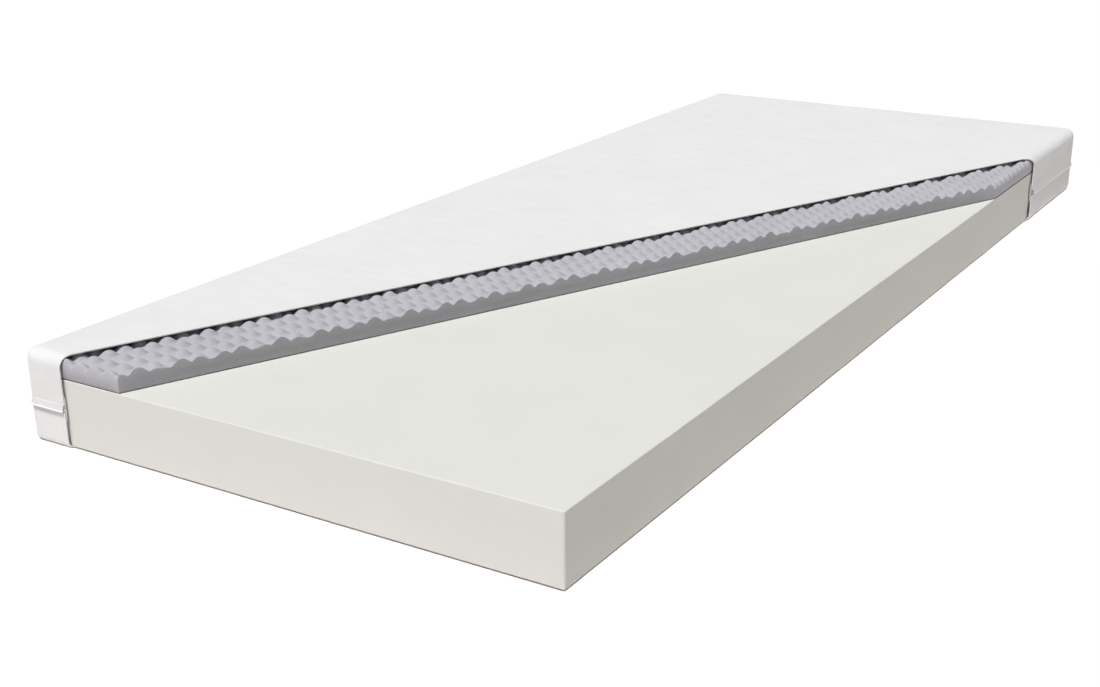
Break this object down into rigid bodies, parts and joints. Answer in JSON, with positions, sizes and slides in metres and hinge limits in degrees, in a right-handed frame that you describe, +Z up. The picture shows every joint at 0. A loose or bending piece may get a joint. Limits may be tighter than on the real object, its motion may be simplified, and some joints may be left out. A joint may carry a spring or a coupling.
{
  "type": "memory foam mattress",
  "caption": "Single mattress with its zipped knit cover and its egg-crate memory foam cut back along two diagonals, so the plain foam core shows.",
  "frame": {"origin": "on the floor, under the middle of the foam", "axes": "+Z up; +Y along the length, towards the end that keeps its cover; +X across the width, towards the bare long side"},
  "size_m": [0.8202, 2.0202, 0.1256],
  "materials": {
    "core_foam": "plain open-cell foam, matt",
    "memory_foam": "convoluted open-cell memory foam, matt",
    "adhesive": "dried foam adhesive",
    "cover_knit": "fine double-jersey knit",
    "cover_lining": "brushed fleece backing",
    "flap_knit": "folded fine knit",
    "zip_tape": "woven tape",
    "zip_coil": "moulded nylon coil",
    "zip_metal": "nickel-plated zinc",
    "thread": "spun polyester thread",
    "label": "satin ribbon, blank"
  },
  "bodies": {
    "base": {"foam_core": "core_foam", "adhesive_film": "adhesive", "memory_foam_layer": "memory_foam", "cover_lower_knit": "cover_knit", "cover_lower_lining": "cover_lining", "zip_tape_lower": "zip_tape", "zip_coil_lower_foot": "zip_coil", "zip_coil_lower_head": "zip_coil", "zip_stop_lower": "zip_metal", "seam_thread_lower": "thread", "care_label": "label"},
    "upper_cover": {"cover_upper_knit": "cover_knit", "cover_upper_lining": "cover_lining", "zip_flap_foot": "flap_knit", "zip_flap_head": "flap_knit", "zip_tape_upper": "zip_tape", "zip_coil_upper_foot": "zip_coil", "zip_coil_upper_head": "zip_coil", "zip_stop_upper": "zip_metal", "seam_thread_upper": "thread", "flap_hem_thread_foot": "thread", "flap_hem_thread_head": "thread"},
    "zip_slider": {"slider_body": "zip_metal", "slider_pin": "zip_metal"},
    "pull_tab": {"pull_tab": "zip_metal"}
  },
  "joints": [
    {"name": "cover_lift", "type": "slide", "parent": "base", "child": "upper_cover", "axis": [0, 0, 1], "range_m": [0, 0.15]},
    {"name": "zip_slider_travel", "type": "slide", "parent": "base", "child": "zip_slider", "axis": [0, -1, 0], "range_m": [0, 1.76]},
    {"name": "pull_tab_swing", "type": "hinge", "parent": "zip_slider", "child": "pull_tab", "pos_m": [-0.407, 0.88, 0.055], "axis": [0, 0, 1], "range_deg": [0, 180]}
  ]
}
